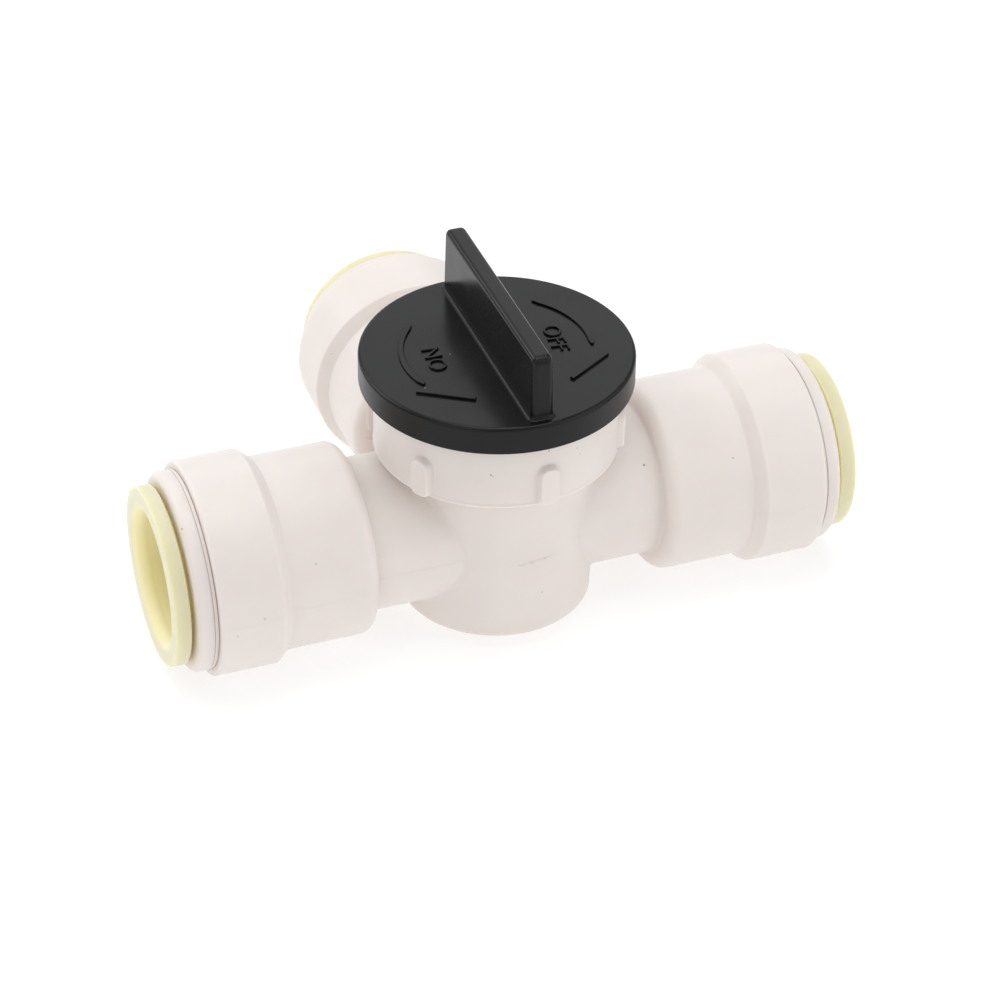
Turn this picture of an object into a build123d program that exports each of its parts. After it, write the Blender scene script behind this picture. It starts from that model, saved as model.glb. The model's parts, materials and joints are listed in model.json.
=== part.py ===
from build123d import *
import math
import os

# Three-way push-fit bypass valve, in millimetres.
# The origin is the centre of the body's flat underside, on the knob's axis.
# The through run lies along X, the branch points to +Y and the knob is on top.
# A name that ends in _out is a distance along a port from the crossing of the tube axes.
# A name that ends in _height is a distance up the knob's axis from the same crossing.

# Ports: name and direction about the knob's axis, in degrees
ports = {"right": 0, "branch": 90, "left": 180}

# Tube that the sockets take, half-inch copper tube size, and its pocket in the body
tube_diameter = 15.875
tube_clearance = 0.11
tube_ledge = 2.65
pocket_length = 7.0
passage_length = 7.9

# Seal, spacer and grab ring that the tube passes through
tube_seal_section = 2.35
gland_slack = 0.25
spacer_length = 2.3
spacer_lip = 0.7
grab_sheet = 0.5
grab_seat_width = 0.8
tooth_length = 1.5
tooth_rake = 0.9
tooth_count = 10
tooth_slot = 1.1
loose_fit = 0.05

# Collet, which slides in the retainer cap
collet_bore_fit = 0.1
collet_wall = 1.25
collet_gap = 0.55
flange_width = 2.3
flange_thickness = 2.1
flange_round = 0.3
lead_round = 1.7
barb_rise = 0.8
barb_land = 1.0
barb_slope_length = 1.4
nose_gap = 1.0
nose_length = 0.7
nose_taper = 0.4
finger_length = 7.2
finger_slot = 1.2

# Retainer cap in the mouth of a port
cap_fit = 0.08
cap_wall = 2.2
cap_depth = 8.25
cap_projection = 2.6
cap_round = 0.9
cap_joint = 0.6
cap_head_rise = 0.3
cap_bore_fit = 0.2
cap_cavity_fit = 0.3
cap_cavity_length = 4.3
cap_cone_length = 1.6

# Outside of a port
neck_wall = 3.3
sleeve_wall = 2.25
neck_round = 0.4
sleeve_lead = 0.75
sleeve_round = 1.6
step_length = 1.45
step_round = 0.4
ring_wall = 1.22
ring_length = 8.3
ring_round = 0.4

# Middle of the body
axis_over_base = 12.0
hub_wall = 3.05
hub_round = 0.6
crotch_round = 0.9
floor_thickness = 2.2
rim_wall = 0.9
thread_chamfer = 0.6

# Seats between the rotor and the ports
seat_wall = 1.3
seat_depth = 3.0
seat_corner_gap = 0.05
seat_gap = 0.06

# Rotor that turns in the body
plug_clearance = 0.1
plug_floor_gap = 0.2
stem_seal_section = 1.8
stem_seal_gap = 0.03
stem_seal_lift = 1.9
stem_seal_pitch = 3.4
groove_side_gap = 0.15
shoulder_lift = 2.9
shoulder_width = 2.0
shoulder_thickness = 1.6
stem_step = 3.6
stem_flat_depth = 1.3
travel_angle = 90
stop_angle = 225
stop_lug_angle = 20
stop_lug_rise = 1.0
stop_clearance_angle = 1.0
washer_thickness = 1.1
washer_fit = 0.1

# Bonnet nut
nut_lift = 1.0
nut_lip = 2.6
nut_wall = 2.07
nut_thread_fit = 0.08
nut_hole_fit = 0.3
nut_round = 0.4
rib_count = 6
rib_angle = -85.8
rib_width = 2.8
rib_rise = 0.85
rib_root = 1.0
rib_length = 5.75
rib_top_round = 1.25
rib_foot_round = 1.1
rib_round = 0.4

# Knob
knob_radius = 17.6
knob_gap = 0.4
knob_thickness = 3.8
knob_round = 0.5
knob_foot_round = 0.1
knob_plate = 2.0
knob_rim = 2.0
knob_hub_wall = 2.6
web_count = 6
web_thickness = 1.2
web_rise = 1.0
socket_fit = 0.05
socket_gap = 0.1
socket_roof = 1.8
blade_inset = 1.3
blade_thickness = 3.0
blade_draft = 0.2
blade_rise = 8.85
blade_round = 0.7
blade_corner = 1.0
blade_foot = 0.5

# Radii of a port, from the tube outwards: the passage is narrower than the pocket by the tube's ledge
pocket_radius = tube_diameter / 2 + tube_clearance
passage_radius = pocket_radius - tube_ledge
seal_bore_radius = pocket_radius + tube_seal_section
grab_rim_radius = seal_bore_radius + grab_seat_width
collet_bore_radius = pocket_radius + collet_bore_fit
collet_radius = collet_bore_radius + collet_wall
barb_radius = collet_radius + barb_rise
cap_bore_radius = collet_radius + cap_bore_fit
cap_cavity_radius = barb_radius + cap_cavity_fit
cap_radius = cap_cavity_radius + cap_wall
cap_seat_radius = cap_radius + cap_fit
ring_radius = cap_seat_radius + ring_wall
sleeve_radius = seal_bore_radius + sleeve_wall

# Radii about the knob's axis: neighbouring seats just miss each other at the chamber's wall
seat_radius = passage_radius + seat_wall
seat_bore_radius = seat_radius + loose_fit
neck_radius = seat_bore_radius + neck_wall
chamber_radius = math.sqrt(2) * seat_bore_radius + seat_corner_gap
plug_radius = chamber_radius - plug_clearance
hub_radius = chamber_radius + hub_wall
groove_radius = chamber_radius - stem_seal_gap - stem_seal_section
shoulder_radius = plug_radius + shoulder_width
stop_lug_radius = shoulder_radius + stop_lug_rise
stem_radius = plug_radius - stem_step
stem_flat = stem_radius - stem_flat_depth
thread_radius = stop_lug_radius + 2 * plug_clearance + rim_wall
nut_bore_radius = thread_radius + nut_thread_fit
nut_radius = nut_bore_radius + nut_wall
knob_hub_radius = stem_radius + knob_hub_wall
nut_hole_radius = knob_hub_radius + nut_hole_fit

# Stations along a port
seat_back_out = chamber_radius + seat_depth
tube_stop_out = seat_back_out + passage_length
sleeve_start_out = tube_stop_out - sleeve_lead
gland_out = tube_stop_out + pocket_length
spacer_out = gland_out + tube_seal_section + gland_slack
grab_out = spacer_out + spacer_length
cap_seat_out = grab_out + grab_sheet
mouth_out = cap_seat_out + cap_depth
ring_start_out = mouth_out - ring_length
cap_front_out = mouth_out + cap_projection
flange_back_out = cap_front_out + collet_gap
collet_front_out = flange_back_out + flange_thickness

# Stations up the knob's axis
base_height = -axis_over_base
floor_height = base_height + floor_thickness
lower_seal_height = seat_radius + stem_seal_lift
upper_seal_height = lower_seal_height + stem_seal_pitch
shoulder_height = upper_seal_height + shoulder_lift
shoulder_top_height = shoulder_height + shoulder_thickness
rim_height = shoulder_top_height + washer_thickness
nut_bottom_height = neck_radius + nut_lift
nut_top_height = rim_height + nut_lip
knob_bottom_height = nut_top_height + knob_gap
knob_top_height = knob_bottom_height + knob_thickness
socket_top_height = knob_top_height - socket_roof
stem_top_height = socket_top_height - socket_gap


def turned(outline):
    """Solid of revolution about X, from corners given as (along, radius) or (along, radius, round)."""
    corners = [corner[:2] for corner in outline]
    rounds = [corner[2] if len(corner) > 2 else 0 for corner in outline]
    return revolve(make_face(FilletPolyline(*corners, radius=rounds, close=True)), Axis.X)


def upright(outline):
    """The same about Z, from corners given as (height, radius) or (height, radius, round)."""
    return Rot(0, -90, 0) * turned(outline)


def plain_ring(start, end, inner, outer):
    """Corners of a plain ring's section."""
    return [(start, inner), (start, outer), (end, outer), (end, inner)]


def round_ring(along, inner, section):
    """Ring of round section about X, given its middle, its inner radius and its section's diameter."""
    return revolve(Pos(along, inner + section / 2) * Circle(section / 2), Axis.X)


def sector(bottom, top, inner, outer, start, sweep):
    """Ring sector about Z, from the start angle over the sweep."""
    middle = Pos((inner + outer) / 2, (bottom + top) / 2)
    section = Plane.XZ * middle * Rectangle(outer - inner, top - bottom)
    return Rot(0, 0, start) * revolve(section, Axis.Z, sweep)


def double_d(bottom, top, radius, flat):
    """Shaft about Z with two flats."""
    outline = Circle(radius) & Rectangle(2 * flat, 2 * radius)
    return Pos(0, 0, bottom) * extrude(outline, top - bottom)


def reach(point):
    """Distance of a point from the knob's axis."""
    return math.hypot(point.X, point.Y)


# Body: hub, threaded neck and the outside of the ports in one moulding

def port_outside():
    """Outside of one port: neck, sleeve, step and ring."""
    return turned([
        (0, 0),
        (0, neck_radius),
        (sleeve_start_out, neck_radius, neck_round),
        (sleeve_start_out, sleeve_radius, sleeve_round),
        (ring_start_out - step_length, sleeve_radius, step_round),
        (ring_start_out, ring_radius, step_round),
        (mouth_out, ring_radius, ring_round),
        (mouth_out, 0),
    ])


def port_inside():
    """What is hollow in one port: seat, passage, tube pocket, seal bore, grab ring's seat and cap's seat."""
    return turned([
        (0, 0),
        (0, seat_bore_radius),
        (seat_back_out, seat_bore_radius),
        (seat_back_out, passage_radius),
        (tube_stop_out, passage_radius),
        (tube_stop_out, pocket_radius),
        (gland_out, pocket_radius),
        (gland_out, seal_bore_radius),
        (grab_out, seal_bore_radius),
        (grab_out, grab_rim_radius + loose_fit),
        (cap_seat_out, grab_rim_radius + loose_fit),
        (cap_seat_out, cap_seat_radius),
        (mouth_out, cap_seat_radius),
        (mouth_out, 0),
    ])


def threaded_neck():
    """Neck that the nut screws on, flared out of the hub."""
    flare_height = nut_bottom_height - (thread_radius - hub_radius)
    return upright([
        (flare_height, 0),
        (flare_height, hub_radius),
        (nut_bottom_height, thread_radius),
        (rim_height - thread_chamfer, thread_radius),
        (rim_height, thread_radius - thread_chamfer),
        (rim_height, 0),
    ])


def chamber():
    """What is hollow for the rotor: its bore, its shoulder's seat and the stop's slot."""
    shoulder_bore_radius = shoulder_radius + plug_clearance
    bore = upright([
        (floor_height, 0),
        (floor_height, chamber_radius),
        (shoulder_height, chamber_radius),
        (shoulder_height, shoulder_bore_radius),
        (rim_height, shoulder_bore_radius),
        (rim_height, 0),
    ])
    slot = sector(
        shoulder_height,
        rim_height,
        shoulder_radius,
        stop_lug_radius + plug_clearance,
        stop_angle - stop_lug_angle / 2 - stop_clearance_angle,
        travel_angle + stop_lug_angle + 2 * stop_clearance_angle,
    )
    return bore + slot


def is_crotch(edge):
    """Whether an edge lies where the hub and the necks run into each other."""
    curved = edge.geom_type not in (GeomType.LINE, GeomType.CIRCLE)
    return curved and reach(edge @ 0.5) < sleeve_start_out


def valve_body():
    body = upright([
        (base_height, 0),
        (base_height, hub_radius, hub_round),
        (nut_bottom_height, hub_radius),
        (nut_bottom_height, 0),
    ])
    for angle in ports.values():
        body += Rot(0, 0, angle) * port_outside()
    body = fillet([edge for edge in body.edges() if is_crotch(edge)], crotch_round)
    body += threaded_neck()
    body -= chamber()
    for angle in ports.values():
        body -= Rot(0, 0, angle) * port_inside()
    return body


# Pieces of a port, each modelled along X and then turned to its port

def seat_seal():
    """Rubber seat in the mouth of a passage, hollowed to the rotor's round side."""
    ring = turned(plain_ring(0, seat_back_out, passage_radius, seat_radius))
    return ring - Cylinder(plug_radius + seat_gap, 2 * hub_radius)


def tube_seal():
    """Rubber ring as a tube leaves it: just touching the tube's pocket radius and the seal bore."""
    return round_ring(gland_out + tube_seal_section / 2, pocket_radius, tube_seal_section)


def spacer():
    """Hard ring that keeps the seal in its gland, hollowed at the front for the teeth."""
    inner = pocket_radius + loose_fit
    outer = seal_bore_radius - loose_fit
    return turned([
        (spacer_out, inner),
        (spacer_out, outer),
        (grab_out, outer),
        (grab_out, outer - spacer_lip),
        (grab_out - tooth_rake - loose_fit, inner),
    ])


def grab_ring():
    """Stainless ring: a flat rim and teeth that lean in towards the tube stop."""
    tip_radius = pocket_radius + loose_fit
    root_radius = tip_radius + tooth_length
    ring = turned([
        (grab_out, root_radius),
        (grab_out, grab_rim_radius),
        (cap_seat_out, grab_rim_radius),
        (cap_seat_out, root_radius),
        (cap_seat_out - tooth_rake, tip_radius),
        (grab_out - tooth_rake, tip_radius),
    ])
    slot = Pos(grab_out, tip_radius, 0) * Box(2 * (tooth_rake + grab_sheet), 2 * tooth_length, tooth_slot)
    for number in range(tooth_count):
        ring -= Rot(360 / tooth_count * number, 0, 0) * slot
    return ring


def retainer_cap():
    """Cap fixed in the mouth: it clamps the grab ring, and its inner cone wedges the collet."""
    cone_out = cap_seat_out + cap_cavity_length
    head_out = mouth_out + cap_joint
    head_radius = cap_radius + cap_head_rise
    return turned([
        (cap_seat_out, cap_cavity_radius),
        (cap_seat_out, cap_radius),
        (head_out, cap_radius),
        (head_out, head_radius),
        (cap_front_out, head_radius, cap_round),
        (cap_front_out, cap_bore_radius),
        (cone_out + cap_cone_length, cap_bore_radius),
        (cone_out, cap_cavity_radius),
    ])


def collet():
    """Release collet: a flange in front of the cap and four barbed fingers inside it."""
    nose_out = cap_seat_out + nose_gap
    barb_out = nose_out + nose_length
    barb_end_out = barb_out + barb_land
    flange_radius = collet_radius + flange_width
    body = turned([
        (nose_out, collet_bore_radius),
        (nose_out, collet_radius - nose_taper),
        (barb_out, barb_radius),
        (barb_end_out, barb_radius),
        (barb_end_out + barb_slope_length, collet_radius),
        (flange_back_out, collet_radius),
        (flange_back_out, flange_radius, flange_round),
        (collet_front_out, flange_radius, flange_round),
        (collet_front_out, collet_bore_radius, lead_round),
    ])
    slot = Pos(nose_out, 0, 0) * Box(2 * finger_length, 2 * flange_radius, finger_slot)
    return body - slot - Rot(90, 0, 0) * slot


# Rotor and its seals

def rotor():
    """Plug with an elbow passage, two seal grooves, a shoulder with a stop lug and a two-flat stem."""
    body = upright([
        (floor_height + plug_floor_gap, 0),
        (floor_height + plug_floor_gap, plug_radius),
        (shoulder_height, plug_radius),
        (shoulder_height, shoulder_radius),
        (shoulder_top_height, shoulder_radius),
        (shoulder_top_height, 0),
    ])
    half_groove = stem_seal_section / 2 + groove_side_gap
    for height in (lower_seal_height, upper_seal_height):
        groove = plain_ring(height - half_groove, height + half_groove, groove_radius, chamber_radius)
        body -= upright(groove)
    body += sector(
        shoulder_height,
        shoulder_top_height,
        plug_radius,
        stop_lug_radius,
        stop_angle - stop_lug_angle / 2,
        stop_lug_angle,
    )
    body += double_d(shoulder_top_height, stem_top_height, stem_radius, stem_flat)
    body -= Sphere(passage_radius)
    for port in ("right", "branch"):
        leg = turned([(0, 0), (0, passage_radius), (chamber_radius, passage_radius), (chamber_radius, 0)])
        body -= Rot(0, 0, ports[port]) * leg
    return body


def stem_seal(height):
    """Rubber ring in a groove of the rotor, all but touching the chamber's wall."""
    return Rot(0, -90, 0) * round_ring(height, groove_radius, stem_seal_section)


def thrust_washer():
    """Slippery washer between the rotor's shoulder and the nut's lip."""
    hole_radius = nut_hole_radius + washer_fit
    return upright(plain_ring(shoulder_top_height, rim_height, hole_radius, shoulder_radius))


# Bonnet nut

def nut_rib():
    """Grip rib along +X: upright, with rounded ends and rounded outer edges."""
    root_radius = nut_radius - rib_root
    blank = Pos(root_radius, 0, nut_bottom_height) * Box(
        rib_root + rib_rise,
        rib_width,
        rib_length,
        align=(Align.MIN, Align.CENTER, Align.MIN),
    )
    blank = fillet(blank.faces().sort_by(Axis.Z)[-1].edges().filter_by(Axis.X), rib_top_round)
    blank = fillet(blank.faces().sort_by(Axis.Z)[0].edges().filter_by(Axis.X), rib_foot_round)
    return fillet(blank.faces().sort_by(Axis.X)[-1].edges(), rib_round)


def bonnet_nut():
    """Ribbed nut on the body's threaded neck; its lip holds the rotor down."""
    nut = upright([
        (nut_bottom_height, nut_bore_radius),
        (nut_bottom_height, nut_radius, nut_round),
        (nut_top_height, nut_radius, nut_round),
        (nut_top_height, nut_hole_radius),
        (rim_height, nut_hole_radius),
        (rim_height, nut_bore_radius),
    ])
    for number in range(rib_count):
        nut += Rot(0, 0, rib_angle + 360 / rib_count * number) * nut_rib()
    return nut


# Knob

def blade():
    """Grip blade, a little thinner at its top than at its foot."""
    length = 2 * (knob_radius - blade_inset)
    foot = Pos(0, 0, knob_top_height) * Rectangle(blade_thickness, length)
    top = Pos(0, 0, knob_top_height + blade_rise) * Rectangle(blade_thickness - 2 * blade_draft, length)
    body = loft([foot, top])
    body = fillet(body.faces().sort_by(Axis.Z)[-1].edges().filter_by(Axis.X), blade_corner)
    upper = [edge for edge in body.edges() if (edge @ 0.5).Z > knob_top_height + blade_round]
    return fillet(upper, blade_round)


def is_blade_foot(edge):
    """Whether an edge is where the blade meets the knob's plate."""
    ends = [edge @ share for share in (0, 0.5, 1)]
    level = all(abs(point.Z - knob_top_height) < 0.001 for point in ends)
    return level and reach(edge @ 0.5) < knob_radius - blade_inset / 2


def knob():
    """Round knob: plate, rim, hub with a two-flat socket, webs underneath and a blade on top."""
    plate_height = knob_top_height - knob_plate
    rim_inner_radius = knob_radius - knob_rim
    body = upright([
        (shoulder_top_height, 0),
        (shoulder_top_height, knob_hub_radius),
        (plate_height, knob_hub_radius),
        (plate_height, rim_inner_radius),
        (knob_bottom_height, rim_inner_radius),
        (knob_bottom_height, knob_radius, knob_foot_round),
        (knob_top_height, knob_radius, knob_round),
        (knob_top_height, 0),
    ])
    web_span = rim_inner_radius - knob_hub_radius
    web = Pos(knob_hub_radius + web_span / 2, 0, plate_height) * Box(
        web_span + knob_rim, web_thickness, 2 * web_rise
    )
    for number in range(web_count):
        body += Rot(0, 0, 360 / web_count * number) * web
    body += blade()
    body = fillet([edge for edge in body.edges() if is_blade_foot(edge)], blade_foot)
    return body - double_d(
        shoulder_top_height, socket_top_height, stem_radius + socket_fit, stem_flat + socket_fit
    )


# Every piece by its node's name
pieces = {
    "valve_body": valve_body(),
    "rotor": rotor(),
    "stem_seal_lower": stem_seal(lower_seal_height),
    "stem_seal_upper": stem_seal(upper_seal_height),
    "thrust_washer": thrust_washer(),
    "bonnet_nut": bonnet_nut(),
    "knob": knob(),
}
port_pieces = {
    "seat_seal": seat_seal(),
    "tube_seal": tube_seal(),
    "spacer": spacer(),
    "grab_ring": grab_ring(),
    "retainer_cap": retainer_cap(),
    "collet": collet(),
}
for port, angle in ports.items():
    for name, piece in port_pieces.items():
        pieces[f"{name}_{port}"] = Rot(0, 0, angle) * piece

os.makedirs("parts", exist_ok=True)
for name, piece in pieces.items():
    export_step(Pos(0, 0, axis_over_base) * piece, f"parts/{name}.step")
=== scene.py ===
import json
import math

import bpy
from mathutils import Matrix, Vector
from mathutils.bvhtree import BVHTree


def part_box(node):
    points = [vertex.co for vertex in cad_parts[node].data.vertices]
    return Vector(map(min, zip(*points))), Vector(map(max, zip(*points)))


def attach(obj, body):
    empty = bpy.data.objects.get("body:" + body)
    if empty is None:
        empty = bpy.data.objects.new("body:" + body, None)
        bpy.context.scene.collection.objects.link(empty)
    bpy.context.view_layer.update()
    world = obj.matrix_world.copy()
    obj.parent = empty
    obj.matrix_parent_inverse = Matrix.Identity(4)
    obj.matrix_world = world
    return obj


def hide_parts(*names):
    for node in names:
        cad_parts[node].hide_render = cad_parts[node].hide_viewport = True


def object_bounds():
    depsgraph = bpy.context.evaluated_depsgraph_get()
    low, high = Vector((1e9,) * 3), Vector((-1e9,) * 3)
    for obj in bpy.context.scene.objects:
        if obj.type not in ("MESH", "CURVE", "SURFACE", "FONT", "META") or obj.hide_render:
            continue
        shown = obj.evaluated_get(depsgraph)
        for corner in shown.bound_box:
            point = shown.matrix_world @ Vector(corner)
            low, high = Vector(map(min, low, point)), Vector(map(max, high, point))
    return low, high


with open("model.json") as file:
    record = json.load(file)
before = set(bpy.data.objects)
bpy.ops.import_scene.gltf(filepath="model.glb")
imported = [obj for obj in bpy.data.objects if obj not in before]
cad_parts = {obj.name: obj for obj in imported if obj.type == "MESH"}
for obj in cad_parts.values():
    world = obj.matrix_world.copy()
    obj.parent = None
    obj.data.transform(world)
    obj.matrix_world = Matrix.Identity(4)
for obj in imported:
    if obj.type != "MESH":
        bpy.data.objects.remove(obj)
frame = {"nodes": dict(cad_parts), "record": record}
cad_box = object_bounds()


# Valve body
# One white injection moulding: hub, threaded neck and three sockets, satin as it leaves the steel.
# The mould opens up and down, so a fine parting line runs round it level with the tube axes.

mm = 0.001
nodes = frame["nodes"]
mounts = {mount["name"]: mount for mount in frame["record"]["mounts"]}
axis_height = mounts["right_socket"]["pos_m"][2]


def add(tree, kind, *inputs, **settings):
    """Puts a node in a tree; each input is a value, another node's output, or None to leave it alone."""
    node = tree.nodes.new(kind)
    for name, value in settings.items():
        setattr(node, name, value)
    for socket, value in zip(node.inputs, inputs):
        if isinstance(value, bpy.types.NodeSocket):
            tree.links.new(value, socket)
        elif value is not None:
            socket.default_value = value
    return node


def math_of(tree, operation, *inputs):
    """Output of one Math node."""
    return add(tree, "ShaderNodeMath", *inputs, operation=operation).outputs[0]


def blend(tree, share, first, second):
    """Output of a colour mix."""
    mix = add(tree, "ShaderNodeMix", data_type="RGBA")
    for socket, value in ((mix.inputs[0], share), (mix.inputs[6], first), (mix.inputs[7], second)):
        if isinstance(value, bpy.types.NodeSocket):
            tree.links.new(value, socket)
        else:
            socket.default_value = value if isinstance(value, float) else (*value, 1)
    return mix.outputs[2]


def ramp_of(tree, value, start, end, low=0.0, high=1.0):
    """Value mapped smoothly from start..end to low..high."""
    node = add(tree, "ShaderNodeMapRange", value, start, end, low, high, interpolation_type="SMOOTHSTEP")
    return node.outputs[0]


drift_scale = 70.0
dust_scale = 210.0
grain_scale = 3500.0
grain_depth = 0.05 * mm
smear_scale = 160.0
smear_roughness = (-0.03, 0.06)


def moulded_skin(name, colour, deep_colour, roughness, dust_colour, dust_size=0.024, grain=0.03):
    """Satin moulding: slow drift of colour, fine grain in the gloss and the bump, and sparse dust."""
    material = bpy.data.materials.new(name)
    material.use_nodes = True
    tree = material.node_tree
    shader = tree.nodes["Principled BSDF"]
    place = add(tree, "ShaderNodeTexCoord").outputs["Object"]
    drift = add(tree, "ShaderNodeTexNoise", place, None, drift_scale, 3.0).outputs["Fac"]
    tint = blend(tree, ramp_of(tree, drift, 0.3, 0.7), colour, deep_colour)
    dust = add(tree, "ShaderNodeTexVoronoi", place, None, dust_scale)
    speck = ramp_of(tree, dust.outputs["Distance"], dust_size, dust_size * 0.6)
    strength = add(tree, "ShaderNodeSeparateColor", dust.outputs["Color"]).outputs[0]
    tree.links.new(blend(tree, math_of(tree, "MULTIPLY", speck, strength), tint, dust_colour),
                   shader.inputs["Base Color"])
    skin = add(tree, "ShaderNodeTexNoise", place, None, grain_scale, 2.0).outputs["Fac"]
    smears = add(tree, "ShaderNodeTexNoise", place, None, smear_scale, 4.0).outputs["Fac"]
    smoothest, roughest = (roughness + change for change in smear_roughness)
    gloss = math_of(tree, "ADD", ramp_of(tree, skin, 0.3, 0.7, -grain, grain),
                    ramp_of(tree, smears, 0.35, 0.75, smoothest, roughest))
    tree.links.new(gloss, shader.inputs["Roughness"])
    bump = add(tree, "ShaderNodeBump", grain, grain_depth)
    tree.links.new(skin, bump.inputs["Height"])
    tree.links.new(bump.outputs["Normal"], shader.inputs["Normal"])
    return material


def add_specks(material, colour, *specks):
    """Single specks of dirt on a moulding: each has its place and its radius in millimetres."""
    tree = material.node_tree
    shader = tree.nodes["Principled BSDF"]
    place = add(tree, "ShaderNodeTexCoord").outputs["Object"]
    tint = shader.inputs["Base Color"].links[0].from_socket
    for x, y, z, radius in specks:
        middle = (x * mm, y * mm, z * mm)
        away = add(tree, "ShaderNodeVectorMath", place, middle, operation="DISTANCE").outputs["Value"]
        tint = blend(tree, ramp_of(tree, away, radius * mm, radius * mm / 2), tint, colour)
    tree.links.new(tint, shader.inputs["Base Color"])


def let_light_in(material, weight, depth, colour_depth):
    """Makes a plastic a little translucent: share of the light that enters, and how far it goes."""
    shader = material.node_tree.nodes["Principled BSDF"]
    shader.inputs["Subsurface Weight"].default_value = weight
    shader.inputs["Subsurface Scale"].default_value = depth
    shader.inputs["Subsurface Radius"].default_value = colour_depth


def dress(node, material):
    """Gives a CAD node its material."""
    nodes[node].data.materials.clear()
    nodes[node].data.materials.append(material)


white_colour = (0.810, 0.744, 0.698)
white_shade = (0.785, 0.714, 0.663)
white_dust = (0.30, 0.25, 0.21)
white_roughness = 0.40
white_light = 0.5
white_depth = 1.0 * mm
white_colour_depth = (1.0, 0.8, 0.65)
speck_brown = (0.40, 0.31, 0.25)
speck_grey = (0.62, 0.57, 0.53)


def white_plastic(name):
    """White satin plastic of the mouldings, which lets a little light in."""
    material = moulded_skin(name, white_colour, white_shade, white_roughness, white_dust)
    let_light_in(material, white_light, white_depth, white_colour_depth)
    return material


body_white = white_plastic("white_body_plastic")
add_specks(body_white, speck_brown,
           (17.81, -7.13, 19.07, 0.2), (-39.1, -13.96, 11.0, 0.1), (28.99, -10.13, 19.57, 0.13))
add_specks(body_white, speck_grey,
           (-27.96, -11.34, 17.58, 0.22), (1.94, -12.49, 6.32, 0.2), (-35.54, -13.97, 12.8, 0.25))

# A rub mark sits on the front of the hub, along the parting line
scuff_place = (0.9 * mm, -12.5 * mm, axis_height - 0.4 * mm)
scuff_turn = (0, math.radians(-4), 0)
scuff_size = (3.2 * mm, 1.8 * mm, 0.42 * mm)
scuff_colour = (0.47, 0.38, 0.34)
scuff_grain = 4.0
scuff_strength = 0.75
tree = body_white.node_tree
shader = tree.nodes["Principled BSDF"]
place = add(tree, "ShaderNodeTexCoord").outputs["Object"]
spot = add(tree, "ShaderNodeMapping", place, scuff_place, scuff_turn, scuff_size,
           vector_type="TEXTURE").outputs[0]
reach = add(tree, "ShaderNodeTexGradient", spot, gradient_type="SPHERICAL").outputs["Fac"]
rubs = add(tree, "ShaderNodeTexNoise", spot, None, scuff_grain, 4.0).outputs["Fac"]
mark = math_of(tree, "MULTIPLY", ramp_of(tree, reach, 0.0, 0.6),
               ramp_of(tree, rubs, 0.47, 0.66, 0.0, scuff_strength))
clean = shader.inputs["Base Color"].links[0].from_socket
tree.links.new(blend(tree, mark, clean, scuff_colour), shader.inputs["Base Color"])
dress("valve_body", body_white)

# The parting line is a fine bead; rays from open air find the body's outline level with the axes
bead_radius = 0.06 * mm
bead_depth = 0.048 * mm
bead_white = moulded_skin("white_bead_plastic", white_colour, white_shade, white_roughness, white_dust)
body_mesh = nodes["valve_body"].data
body_skin = BVHTree.FromPolygons([vertex.co for vertex in body_mesh.vertices],
                                 [face.vertices for face in body_mesh.polygons])


def outline_from(x, y, start, end, steps):
    """Points of the body's outline at the axes' height, seen from one spot over a range of angles."""
    points = []
    for step in range(steps + 1):
        angle = math.radians(start + (end - start) * step / steps)
        ray = Vector((math.cos(angle), math.sin(angle), 0))
        hit, normal, _, _ = body_skin.ray_cast(Vector((x, y, axis_height)), ray)
        if hit is not None:
            points.append(hit - normal * bead_depth)
    return points


def mesh_of(thing):
    """Plain mesh of an object as it is evaluated; the object itself is removed."""
    bpy.context.scene.collection.objects.link(thing)
    graph = bpy.context.evaluated_depsgraph_get()
    mesh = bpy.data.meshes.new_from_object(thing.evaluated_get(graph))
    bpy.data.objects.remove(thing)
    return mesh


def piece_of(name, mesh, body, material):
    """Finished piece: its mesh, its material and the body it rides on."""
    mesh.name = name
    mesh.materials.clear()
    mesh.materials.append(material)
    piece = bpy.data.objects.new(name, mesh)
    bpy.context.scene.collection.objects.link(piece)
    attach(piece, body)
    return piece


body_low, body_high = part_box("valve_body")
mouth_margin = 0.8 * mm
mouth = body_high.x - mouth_margin
ring_radius = axis_height - body_low.z
spot_out = 26 * mm
far_out = 60 * mm
front_steps = 400
corner_steps = 300
mouth_turn = math.degrees(math.atan2(spot_out - ring_radius, mouth - spot_out))
front_turn = math.degrees(math.atan2(far_out - ring_radius, mouth))
bead = bpy.data.curves.new("parting_line", "CURVE")
bead.dimensions = "3D"
bead.bevel_depth = bead_radius
bead.bevel_resolution = 1
bead.use_fill_caps = True
for points in (
    outline_from(0, -far_out, front_turn, 180 - front_turn, front_steps),
    outline_from(spot_out, spot_out, -mouth_turn, mouth_turn - 270, corner_steps),
    outline_from(-spot_out, spot_out, mouth_turn - 180, 90 - mouth_turn, corner_steps),
):
    spline = bead.splines.new("POLY")
    spline.points.add(len(points) - 1)
    for vertex, point in zip(spline.points, points):
        vertex.co = (*point, 1)
bead_mesh = mesh_of(bpy.data.objects.new("parting_line", bead))
piece_of("parting_line", bead_mesh, "housing", bead_white)


# Seats, rotor and its seals
# A grey plug with an elbow passage turns between three rubber seats; two rubber rings seal its stem.
# They are moulded, go in from above and are held down by a slippery washer under the nut.

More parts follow.
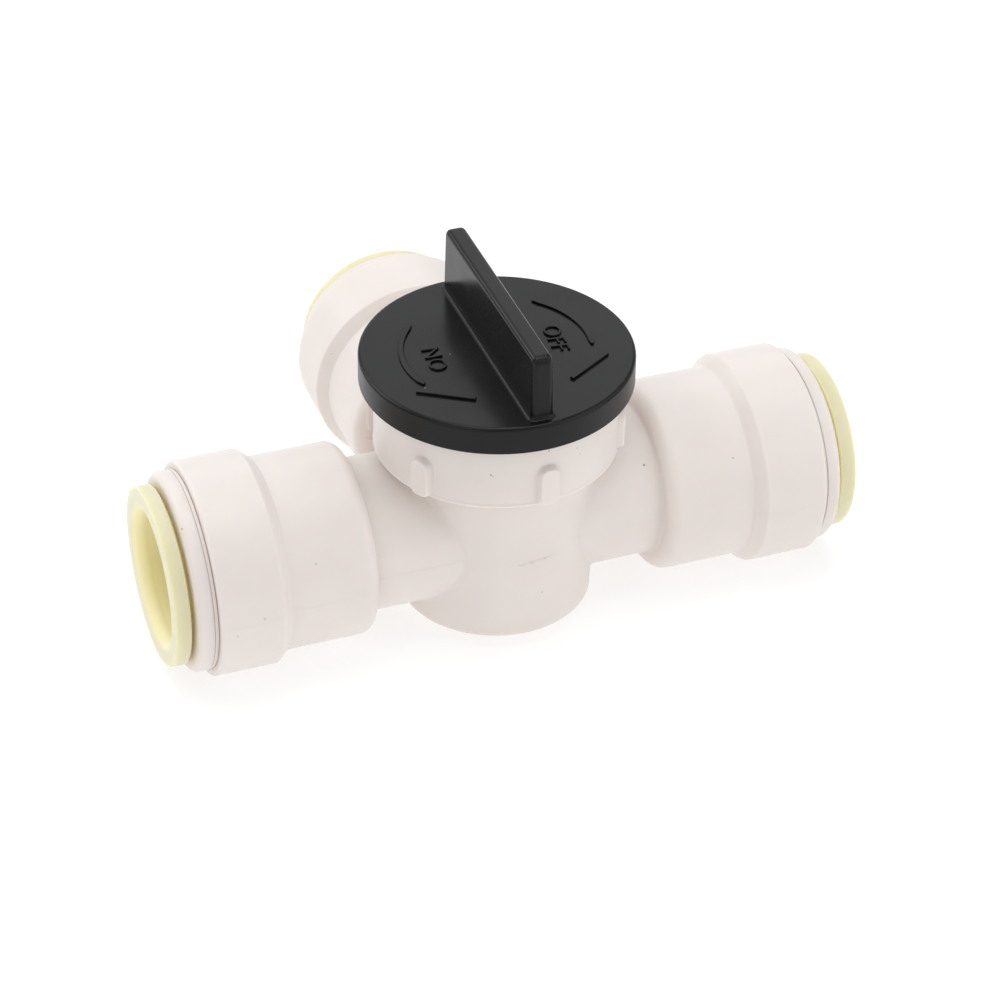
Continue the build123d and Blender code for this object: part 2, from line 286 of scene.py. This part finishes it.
ports = ("right", "branch", "left")
rubber = moulded_skin("black_seal_rubber", (0.016, 0.016, 0.016), (0.022, 0.022, 0.021),
                      roughness=0.52, dust_colour=(0.10, 0.10, 0.09))
rotor_grey = moulded_skin("grey_rotor_plastic", (0.55, 0.56, 0.57), (0.50, 0.51, 0.52),
                          roughness=0.40, dust_colour=(0.3, 0.3, 0.3))
washer_white = moulded_skin("skived_washer_plastic", (0.80, 0.80, 0.77), (0.76, 0.76, 0.73),
                            roughness=0.45, dust_colour=(0.4, 0.4, 0.4))
for port in ports:
    dress(f"seat_seal_{port}", rubber)
dress("stem_seal_lower", rubber)
dress("stem_seal_upper", rubber)
dress("rotor", rotor_grey)
dress("thrust_washer", washer_white)


# Bonnet nut
# White moulded nut, screwed on the body's neck; it holds the rotor down round the knob's hub.
# Six soft-edged grip ribs stand on its side, rounded at both ends.

nut_low, nut_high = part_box("bonnet_nut")
nut_radius = (nut_high.x - nut_low.x) / 2
nut_round = 0.4 * mm
nut_bore_radius = 13.68 * mm
nut_hole_radius = 8.8 * mm
nut_lip = 2.6 * mm
rib_count = 6
rib_columns = 150
row_crowding = 1.3
rib_cut = 0.4
lip_fade = 1.6
merge_distance = 0.002 * mm
sharp_angle = math.radians(40)


def turned(outline, sides=256, round_steps=6, closed=True):
    """Turned shape about Z from corners (radius, height, round), listed anticlockwise in section."""
    section = []
    count = len(outline)
    for number, (radius, height, round_size) in enumerate(outline):
        corner = Vector((radius, height))
        if not round_size:
            section.append(corner)
            continue
        back = (Vector(outline[number - 1][:2]) - corner).normalized()
        ahead = (Vector(outline[(number + 1) % count][:2]) - corner).normalized()
        half = back.angle(ahead) / 2
        middle = corner + (back + ahead).normalized() * round_size / math.sin(half)
        first = corner + back * round_size / math.tan(half) - middle
        last = corner + ahead * round_size / math.tan(half) - middle
        sweep = first.angle_signed(last)
        for step in range(round_steps + 1):
            section.append(middle + Matrix.Rotation(-sweep * step / round_steps, 2) @ first)
    points = []
    faces = []
    length = len(section)
    for side in range(sides):
        angle = math.tau * side / sides
        points += [(p.x * math.cos(angle), p.x * math.sin(angle), p.y) for p in section]
        here, there = side * length, (side + 1) % sides * length
        for step in range(length if closed else length - 1):
            after = (step + 1) % length
            faces.append((here + step, there + step, there + after, here + after))
    mesh = bpy.data.meshes.new("turned")
    mesh.from_pydata(points, [], faces)
    mesh.shade_smooth()
    mesh.set_sharp_from_angle(angle=sharp_angle)
    return mesh


nut_blank = turned([
    (nut_radius, nut_high.z - nut_round, 0),
    (nut_radius, nut_high.z, nut_round),
    (nut_hole_radius, nut_high.z, 0),
    (nut_hole_radius, nut_high.z - nut_lip, 0),
    (nut_bore_radius, nut_high.z - nut_lip, 0),
    (nut_bore_radius, nut_low.z, 0),
], sides=rib_count * rib_columns, closed=False)


def ribbed_side():
    """Node tree that closes a turned nut with its outer side: one sector with a rib, set round the axis."""
    tree = bpy.data.node_groups.new("ribbed_side", "GeometryNodeTree")
    tree.interface.new_socket("Nut", in_out="INPUT", socket_type="NodeSocketGeometry")
    for name in ("Nut Radius", "Bore Radius", "Low", "High", "Lower Round", "Start Angle", "Rib Width",
                 "Rib Foot", "Rib Top", "Rib Rise", "Top Round", "Foot Round", "Root", "Edge", "Lip",
                 "Lip Height"):
        tree.interface.new_socket(name, in_out="INPUT", socket_type="NodeSocketFloat")
    for name in ("Count", "Columns", "Rows"):
        tree.interface.new_socket(name, in_out="INPUT", socket_type="NodeSocketInt")
    tree.interface.new_socket("Plastic", in_out="INPUT", socket_type="NodeSocketMaterial")
    tree.interface.new_socket("Nut", in_out="OUTPUT", socket_type="NodeSocketGeometry")
    size = tree.nodes.new("NodeGroupInput").outputs

    def calc(operation, *inputs):
        return math_of(tree, operation, *inputs)

    # A grid of one sector: X is the angle, Y runs from the bore along the lower face and up the side
    sector = calc("DIVIDE", math.tau, size["Count"])
    grid = add(tree, "GeometryNodeMeshGrid", sector, 1.0, calc("ADD", size["Columns"], 1.0),
               size["Rows"]).outputs["Mesh"]
    spot = add(tree, "ShaderNodeSeparateXYZ", add(tree, "GeometryNodeInputPosition").outputs[0]).outputs
    row = calc("MULTIPLY", calc("ADD", spot["Y"], 0.5), calc("SUBTRACT", size["Rows"], 1.0))
    is_bore = calc("LESS_THAN", row, 0.5)
    climb = calc("DIVIDE", calc("MAXIMUM", calc("SUBTRACT", row, 1.0), 0.0),
                 calc("SUBTRACT", size["Rows"], 2.0))
    lift = calc("MULTIPLY", calc("POWER", climb, row_crowding), calc("SUBTRACT", size["High"], size["Low"]))
    # Distance out of the rib's outline, a rectangle with rounded ends
    along_side = calc("MULTIPLY", spot["X"], size["Nut Radius"])
    half_length = calc("MULTIPLY", calc("SUBTRACT", size["Rib Top"], size["Rib Foot"]), 0.5)
    level = calc("SUBTRACT", lift, calc("ADD", size["Rib Foot"], half_length))
    is_top = calc("GREATER_THAN", level, 0.0)
    end_round = calc("MULTIPLY_ADD", is_top, calc("SUBTRACT", size["Top Round"], size["Foot Round"]),
                     size["Foot Round"])
    across = calc("SUBTRACT", calc("ABSOLUTE", along_side),
                  calc("SUBTRACT", calc("MULTIPLY", size["Rib Width"], 0.5), end_round))
    along = calc("SUBTRACT", calc("ABSOLUTE", level), calc("SUBTRACT", half_length, end_round))
    outer = calc("SQRT", calc("ADD", calc("POWER", calc("MAXIMUM", across, 0.0), 2.0),
                              calc("POWER", calc("MAXIMUM", along, 0.0), 2.0)))
    inner = calc("MINIMUM", calc("MAXIMUM", across, along), 0.0)
    outside = calc("SUBTRACT", calc("ADD", outer, inner), end_round)
    # The rib swells out of the side; between the ribs the lower edge is a fine rounded lip
    rib = ramp_of(tree, outside, size["Root"], calc("MULTIPLY", size["Edge"], -1.0))
    depth = calc("MAXIMUM", calc("SUBTRACT", size["Lower Round"], lift), 0.0)
    chord = calc("SUBTRACT", calc("POWER", size["Lower Round"], 2.0), calc("POWER", depth, 2.0))
    cut = calc("SUBTRACT", size["Lower Round"], calc("SQRT", calc("MAXIMUM", chord, 0.0)))
    bare = calc("SUBTRACT", 1.0, rib)
    swell = calc("SUBTRACT", calc("MULTIPLY", rib, size["Rib Rise"]),
                 calc("MULTIPLY", cut, calc("MULTIPLY_ADD", bare, 1 - rib_cut, rib_cut)))
    lip = ramp_of(tree, lift, calc("MULTIPLY", size["Lip Height"], lip_fade), size["Lip Height"],
                  0.0, size["Lip"])
    swell = calc("MULTIPLY_ADD", lip, bare, swell)
    side_radius = calc("ADD", size["Nut Radius"], swell)
    radius = calc("ADD", calc("MULTIPLY", side_radius, calc("SUBTRACT", 1.0, is_bore)),
                  calc("MULTIPLY", size["Bore Radius"], is_bore))
    bent = add(tree, "ShaderNodeCombineXYZ", calc("MULTIPLY", radius, calc("COSINE", spot["X"])),
               calc("MULTIPLY", radius, calc("SINE", spot["X"])), calc("ADD", lift, size["Low"])).outputs[0]
    one = add(tree, "GeometryNodeSetPosition", grid, None, bent).outputs[0]
    # One sector at each step round the axis, then the sectors and the turned shape grow together
    turn = calc("MULTIPLY_ADD", add(tree, "GeometryNodeInputIndex").outputs[0], sector, size["Start Angle"])
    facing = add(tree, "FunctionNodeEulerToRotation",
                 add(tree, "ShaderNodeCombineXYZ", 0.0, 0.0, turn).outputs[0]).outputs[0]
    places = add(tree, "GeometryNodePoints", size["Count"]).outputs[0]
    ring = add(tree, "GeometryNodeInstanceOnPoints", places, None, one, None, None, facing).outputs[0]
    ring = add(tree, "GeometryNodeRealizeInstances", ring).outputs[0]
    turned_nut = add(tree, "GeometryNodeTransform", size["Nut"])
    tree.links.new(add(tree, "ShaderNodeCombineXYZ", 0.0, 0.0, size["Start Angle"]).outputs[0],
                   turned_nut.inputs["Rotation"])
    whole = add(tree, "GeometryNodeJoinGeometry")
    tree.links.new(ring, whole.inputs[0])
    tree.links.new(turned_nut.outputs[0], whole.inputs[0])
    grown = add(tree, "GeometryNodeMergeByDistance", whole.outputs[0])
    grown.inputs["Distance"].default_value = merge_distance
    smooth = add(tree, "GeometryNodeSetShadeSmooth", grown.outputs[0]).outputs[0]
    dressed = add(tree, "GeometryNodeSetMaterial", smooth, None, size["Plastic"]).outputs[0]
    add(tree, "NodeGroupOutput", dressed)
    return tree


nut_white = white_plastic("white_nut_plastic")
add_specks(nut_white, speck_brown,
           (-6.03, -14.54, 28.19, 0.16), (-5.8, -14.62, 28.0, 0.1), (1.15, -15.7, 30.93, 0.14),
           (5.23, -14.85, 29.86, 0.1), (5.74, -14.66, 28.7, 0.1))
rib_sizes = {
    "Nut Radius": nut_radius,
    "Bore Radius": nut_bore_radius,
    "Low": nut_low.z,
    "High": nut_high.z - nut_round,
    "Lower Round": 0.22 * mm,
    "Start Angle": math.radians(-85.8),
    "Rib Width": 2.8 * mm,
    "Rib Foot": 0.02 * mm,
    "Rib Top": 5.7 * mm,
    "Rib Rise": 0.85 * mm,
    "Top Round": 1.35 * mm,
    "Foot Round": 1.0 * mm,
    "Root": 0.1 * mm,
    "Edge": 0.3 * mm,
    "Lip": 0.1 * mm,
    "Lip Height": 0.32 * mm,
    "Count": rib_count,
    "Columns": rib_columns,
    "Rows": 76,
    "Plastic": nut_white,
}
nut = bpy.data.objects.new("ribbed_nut", nut_blank)
ribbing = nut.modifiers.new("ribs", "NODES")
ribbing.node_group = ribbed_side()
for socket in ribbing.node_group.interface.items_tree:
    if socket.in_out == "INPUT" and socket.name in rib_sizes:
        ribbing[socket.identifier] = rib_sizes[socket.name]
nut_mesh = mesh_of(nut)
nut_mesh.set_sharp_from_angle(angle=sharp_angle)
nut_piece = piece_of("ribbed_nut", nut_mesh, "housing", nut_white)
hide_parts("bonnet_nut")


# Knob
# Satin black moulding: a round plate with a grip blade, pushed on the rotor's stem.
# ON and OFF, an arc beside each word and a short bar at each arc's end stand up from the plate.

black_colour = (0.0060, 0.0060, 0.0062)
black_shade = (0.0080, 0.0080, 0.0078)
black_dust = (0.20, 0.20, 0.19)
speck_pale = (0.16, 0.16, 0.15)
plate_top = 36.4 * mm
black = moulded_skin("black_knob_plastic", black_colour, black_shade,
                     roughness=0.24, dust_colour=black_dust, dust_size=0.016, grain=0.001)
add_specks(black, speck_pale, (-5.95, 0.97, plate_top / mm, 0.14), (-11.41, -5.17, plate_top / mm, 0.16))
knob_gloss = 0.22
knob_sheen = (1.0, 0.98, 0.95)
dull_roughness = 0.1
rim_below = (0.1 * mm, 0.5 * mm)
blade_above = (0.2 * mm, 0.6 * mm)
blade_end = (15.6 * mm, 16.2 * mm)

# The rim's side and the blade's ends are duller than the faces that hands rub
tree = black.node_tree
spot = add(tree, "ShaderNodeSeparateXYZ", add(tree, "ShaderNodeTexCoord").outputs["Object"]).outputs
reach = math_of(tree, "SQRT", math_of(tree, "ADD", math_of(tree, "POWER", spot["X"], 2.0),
                                      math_of(tree, "POWER", spot["Y"], 2.0)))
rim = ramp_of(tree, spot["Z"], *(plate_top - depth for depth in rim_below))
ends = math_of(tree, "MULTIPLY", ramp_of(tree, reach, *blade_end),
               ramp_of(tree, spot["Z"], *(plate_top + height for height in blade_above)))
shader = tree.nodes["Principled BSDF"]
shader.inputs["Specular IOR Level"].default_value = knob_gloss
shader.inputs["Specular Tint"].default_value = (*knob_sheen, 1)
rubbed = shader.inputs["Roughness"].links[0].from_socket
dull = math_of(tree, "MAXIMUM", rim, ends)
tree.links.new(math_of(tree, "MULTIPLY_ADD", dull, dull_roughness, rubbed), shader.inputs["Roughness"])
dress("knob", black)

arc_rise = 0.28 * mm
bar_rise = 0.34 * mm
word_rise = 0.26 * mm
mark_root = 0.1 * mm
mark_bevel = 0.08 * mm
stroke_width = 0.55 * mm
taper_steps = 6
end_taper = 0.5
letter_size = 3.3 * mm
letter_spacing = 1.05
on_place = (-8.05 * mm, 0.35 * mm)
on_turn = math.radians(87)
off_place = (7.75 * mm, -0.1 * mm)
off_turn = math.radians(-95)
arc_radius = 12.15 * mm
arc_width = 0.75 * mm
arc_on_angles = (135, 202)
arc_off_angles = (48, -14)


def raised_mark(name, shape, rise, turn=0.0, x=0.0, y=0.0):
    """Flat lettering or outline, raised from the knob's plate and set in its place."""
    shape.extrude = (rise + mark_root) / 2 - mark_bevel
    shape.bevel_depth = mark_bevel
    shape.offset = -mark_bevel
    shape.bevel_resolution = 1
    mesh = mesh_of(bpy.data.objects.new(name, shape))
    place = Matrix.Translation((x, y, plate_top + (rise - mark_root) / 2)) @ Matrix.Rotation(turn, 4, "Z")
    mesh.transform(place)
    piece_of(name, mesh, "turning_knob", black)


def flat_word(word):
    """Word in plain capitals, centred on its place."""
    text = bpy.data.curves.new(word, "FONT")
    text.body = word
    text.size = letter_size
    text.space_character = letter_spacing
    text.align_x = "CENTER"
    text.align_y = "CENTER"
    return text


def flat_stroke(name, points, width):
    """Stroke along a run of points; a long run tapers at its ends."""
    curve = bpy.data.curves.new(name, "CURVE")
    curve.dimensions = "2D"
    curve.fill_mode = "BOTH"
    left, right = [], []
    for number, point in enumerate(points):
        ahead = points[min(number + 1, len(points) - 1)] - points[max(number - 1, 0)]
        steps_left = min(number, len(points) - 1 - number)
        taper = min(1.0, end_taper + steps_left / taper_steps) if len(points) > 2 else 1.0
        side = Vector((-ahead.y, ahead.x)).normalized() * taper * width / 2
        left.append(point + side)
        right.append(point - side)
    border = left + right[::-1]
    spline = curve.splines.new("POLY")
    spline.use_cyclic_u = True
    spline.points.add(len(border) - 1)
    for vertex, point in zip(spline.points, border):
        vertex.co = (*point, 0, 1)
    return curve


def arc_points(start, end, steps=48):
    """Points of an arc about the knob's axis, angles in degrees."""
    angles = [math.radians(start + (end - start) * step / steps) for step in range(steps + 1)]
    return [Vector((arc_radius * math.cos(angle), arc_radius * math.sin(angle))) for angle in angles]


raised_mark("word_on", flat_word("ON"), word_rise, on_turn, *on_place)
raised_mark("word_off", flat_word("OFF"), word_rise, off_turn, *off_place)
raised_mark("arc_on", flat_stroke("arc_on", arc_points(*arc_on_angles), arc_width), arc_rise)
raised_mark("arc_off", flat_stroke("arc_off", arc_points(*arc_off_angles), arc_width), arc_rise)
bar_on = [Vector((-12.7 * mm, -5.7 * mm)), Vector((-6.3 * mm, -9.7 * mm))]
bar_off = [Vector((12.7 * mm, -5.6 * mm)), Vector((6.5 * mm, -9.4 * mm))]
raised_mark("bar_on", flat_stroke("bar_on", bar_on, stroke_width), bar_rise)
raised_mark("bar_off", flat_stroke("bar_off", bar_off, stroke_width), bar_rise)


# Seal, spacer and grab ring in each socket
# A rubber ring seals the tube, a hard spacer keeps it in place and a toothed steel ring grips the tube.
# The rubber and the spacer are moulded, the grab ring is stamped from thin stainless sheet.

spacer_white = moulded_skin("natural_spacer_plastic", (0.74, 0.73, 0.69), (0.70, 0.69, 0.64),
                            roughness=0.40, dust_colour=(0.4, 0.4, 0.4))
steel = moulded_skin("grab_ring_steel", (0.62, 0.62, 0.61), (0.54, 0.54, 0.54),
                     roughness=0.28, dust_colour=(0.3, 0.3, 0.3), grain=0.008)
steel.node_tree.nodes["Principled BSDF"].inputs["Metallic"].default_value = 1.0
for port in ports:
    dress(f"tube_seal_{port}", rubber)
    dress(f"spacer_{port}", spacer_white)
    dress(f"grab_ring_{port}", steel)


# Retainer caps
# White moulded cap fixed in each socket's mouth, over the seal, the spacer and the grab ring.
# A fine joint, with dust in it, is left between its head and the socket's ring.

cap_white = white_plastic("white_cap_plastic")
add_specks(cap_white, speck_brown, (-43.5, -6.09, 23.15, 0.16), (-43.74, -8.79, 17.86, 0.2))
for port in ports:
    dress(f"retainer_cap_{port}", cap_white)

# A thin band of the cap stands in that joint, so that two fine lines show
band_radius = 12.95 * mm
band_inner_radius = 12.6 * mm
band_gap = 0.02 * mm
band_width = 0.56 * mm
band_round = 0.07 * mm
joint_dust = (0.58, 0.45, 0.34)


def port_place(tree):
    """Place on any of the ports: how far across its axis, how far out along it, and how high."""
    spot = add(tree, "ShaderNodeSeparateXYZ", add(tree, "ShaderNodeTexCoord").outputs["Object"]).outputs
    x = math_of(tree, "ABSOLUTE", spot["X"])
    y = math_of(tree, "ABSOLUTE", spot["Y"])
    return math_of(tree, "MINIMUM", x, y), math_of(tree, "MAXIMUM", x, y), spot["Z"]


band_white = moulded_skin("white_band_plastic", white_colour, white_shade, white_roughness, white_dust)
tree = band_white.node_tree
shader = tree.nodes["Principled BSDF"]
outwards = port_place(tree)[1]
mouth_out = body_high.x
band_middle = mouth_out + band_gap + band_width / 2
off_middle = math_of(tree, "ABSOLUTE", math_of(tree, "SUBTRACT", outwards, band_middle))
in_joint = ramp_of(tree, off_middle, band_width / 2 - 2 * band_round, band_width / 2 - band_round / 2)
plain = shader.inputs["Base Color"].links[0].from_socket
tree.links.new(blend(tree, in_joint, plain, joint_dust), shader.inputs["Base Color"])
band_turns = {
    "right": Matrix.Rotation(math.radians(90), 4, "Y"),
    "left": Matrix.Rotation(math.radians(-90), 4, "Y"),
    "branch": Matrix.Rotation(math.radians(-90), 4, "X"),
}
for port in ports:
    band = turned([
        (band_inner_radius, mouth_out + band_gap, 0),
        (band_radius, mouth_out + band_gap, band_round),
        (band_radius, mouth_out + band_gap + band_width, band_round),
        (band_inner_radius, mouth_out + band_gap + band_width, 0),
    ], round_steps=3)
    band.transform(Matrix.Translation((0, 0, axis_height)) @ band_turns[port])
    piece_of(f"cap_band_{port}", band, "housing", band_white)


# Release collets
# Cream collet in each cap, moulded in a slightly translucent plastic and slit into springy fingers.
# The fingers snap into the cap, where it slides; its flange is pushed to let the tube go.

cream_light = 1.0
cream_depth = 2.0 * mm
cream_colour_depth = (1.0, 0.88, 0.45)
cream = moulded_skin("cream_collet_plastic", (0.735, 0.70, 0.50), (0.715, 0.675, 0.465),
                     roughness=0.38, dust_colour=(0.36, 0.30, 0.16))
let_light_in(cream, cream_light, cream_depth, cream_colour_depth)

# Painted light: the bore and the gap behind the flange are painted a deeper, warmer yellow and given a
# faint painted glow, standing in for light that soaks through the plastic
painted_soak_cream = (0.87, 0.80, 0.49)
bore_reach = (9.95 * mm, 8.7 * mm)
flange_out = 44.3 * mm
gap_reach = 0.35 * mm
painted_glow_colour = (1.0, 0.88, 0.40)
bore_painted_glow = 0.02
gap_painted_glow = 0.05
tree = cream.node_tree
shader = tree.nodes["Principled BSDF"]
sideways, outwards, height = port_place(tree)
upwards = math_of(tree, "SUBTRACT", height, axis_height)
from_axis = math_of(tree, "SQRT", math_of(tree, "ADD", math_of(tree, "POWER", sideways, 2.0),
                                          math_of(tree, "POWER", upwards, 2.0)))
in_bore = ramp_of(tree, from_axis, *bore_reach)
in_gap = ramp_of(tree, outwards, flange_out + gap_reach, flange_out)
plain = shader.inputs["Base Color"].links[0].from_socket
deep = math_of(tree, "MAXIMUM", in_bore, in_gap)
tree.links.new(blend(tree, deep, plain, painted_soak_cream), shader.inputs["Base Color"])
# The emission is a painted glow in the bore and the gap, since the collet is no lamp
shader.inputs["Emission Color"].default_value = (*painted_glow_colour, 1)
painted_glow = math_of(tree, "ADD", math_of(tree, "MULTIPLY", in_bore, bore_painted_glow),
               math_of(tree, "MULTIPLY", in_gap, gap_painted_glow))
tree.links.new(painted_glow, shader.inputs["Emission Strength"])
for port in ports:
    dress(f"collet_{port}", cream)


# Studio
# A plain white table that glows a little stands in a white room.
# Six square soft boxes light the valve from above and all round, and the camera has the photograph's place.

floor_half = 3.0
floor_height = cad_box[0][2]
floor_mesh = bpy.data.meshes.new("white_table")
floor_corners = [(-1, -1), (1, -1), (1, 1), (-1, 1)]
floor_points = [(x * floor_half, y * floor_half, floor_height) for x, y in floor_corners]
floor_mesh.from_pydata(floor_points, [], [(0, 1, 2, 3)])
floor_strength = 0.61
floor_white = moulded_skin("white_table_paint", (0.45, 0.45, 0.45), (0.44, 0.44, 0.44),
                           roughness=0.7, dust_colour=(0.45, 0.45, 0.45))
floor_glow = floor_white.node_tree.nodes["Principled BSDF"].inputs
floor_glow["Emission Color"].default_value = (1, 1, 1, 1)
floor_glow["Emission Strength"].default_value = floor_strength
floor_mesh.materials.append(floor_white)
floor = bpy.data.objects.new("white_table", floor_mesh)
bpy.context.scene.collection.objects.link(floor)

cool_white = (0.982, 1.0, 1.025)
room_strength = 0.47
box_size = 0.7
world = bpy.data.worlds.new("white_room")
world.use_nodes = True
room = world.node_tree.nodes["Background"]
room.inputs["Color"].default_value = (*cool_white, 1)
room.inputs["Strength"].default_value = room_strength
bpy.context.scene.world = world


def soft_box(name, place, power):
    """Square soft light aimed at the valve."""
    light = bpy.data.lights.new(name, "AREA")
    light.size = box_size
    light.energy = power
    light.color = cool_white
    lamp = bpy.data.objects.new(name, light)
    lamp.location = place
    lamp.rotation_euler = (Vector((0, 0, axis_height)) - Vector(place)).to_track_quat("-Z", "Y").to_euler()
    bpy.context.scene.collection.objects.link(lamp)


soft_box("top_light", (0.0, 0.0, 1.0), 3.6)
soft_box("rear_left_light", (-0.6, 0.6, 0.6), 3.3)
soft_box("rear_light", (0.2, 0.8, 0.6), 1.25)
soft_box("right_light", (0.8, -0.1, 0.6), 0.9)
soft_box("front_right_light", (0.6, -0.6, 0.45), 1.6)
soft_box("front_left_light", (-0.65, -0.55, 0.5), 1.1)

camera_data = bpy.data.cameras.new("camera")
camera_data.lens = 120.0
camera_data.sensor_width = 36.0
camera_data.clip_start = 0.01
camera = bpy.data.objects.new("camera", camera_data)
camera_right = Vector((0.93851, -0.34507, 0.01127))
camera_up = Vector((0.19525, 0.55737, 0.80699))
camera_back = camera_right.cross(camera_up)
camera_turn = Matrix((camera_right, camera_up, camera_back)).transposed().to_4x4()
camera_place = Vector((-0.12312, -0.32834, 0.25742 + axis_height))
camera.matrix_world = Matrix.Translation(camera_place) @ camera_turn
bpy.context.scene.collection.objects.link(camera)
bpy.context.scene.camera = camera
bpy.context.scene.view_settings.view_transform = "Standard"
